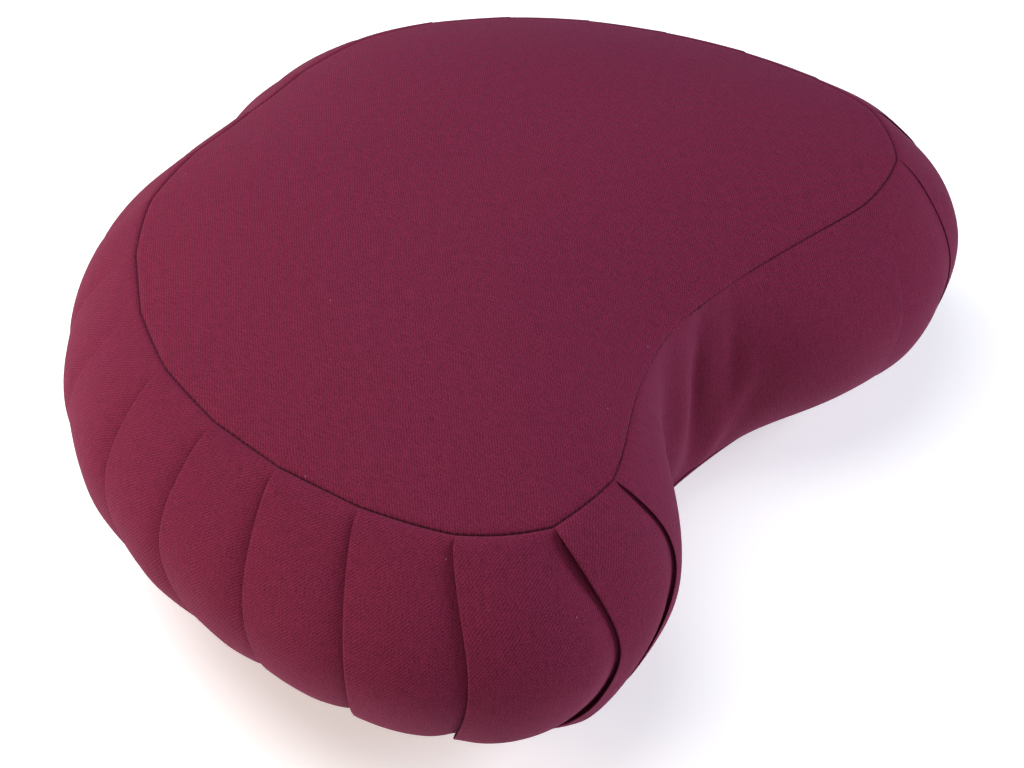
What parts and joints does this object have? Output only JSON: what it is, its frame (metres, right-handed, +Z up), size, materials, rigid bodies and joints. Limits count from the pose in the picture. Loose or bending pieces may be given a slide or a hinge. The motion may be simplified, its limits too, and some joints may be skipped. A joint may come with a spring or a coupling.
{
  "type": "crescent meditation cushion",
  "caption": "Filled crescent floor cushion with a domed top, two rounded horns, a concave front and a side band laid in knife pleats round the horns and back.",
  "frame": {"origin": "on the floor under the middle of the cushion's box", "axes": "+X across the two horns, -Y towards the concave front, +Z up"},
  "size_m": [0.4548, 0.3594, 0.154],
  "materials": {
    "band_cotton": "matt woven cotton",
    "top_panel_cotton": "matt woven cotton",
    "bottom_panel_cotton": "matt woven cotton"
  },
  "bodies": {
    "root": {"pleated_body": "band_cotton", "top_panel": "top_panel_cotton", "bottom_panel": "bottom_panel_cotton"}
  },
  "joints": []
}
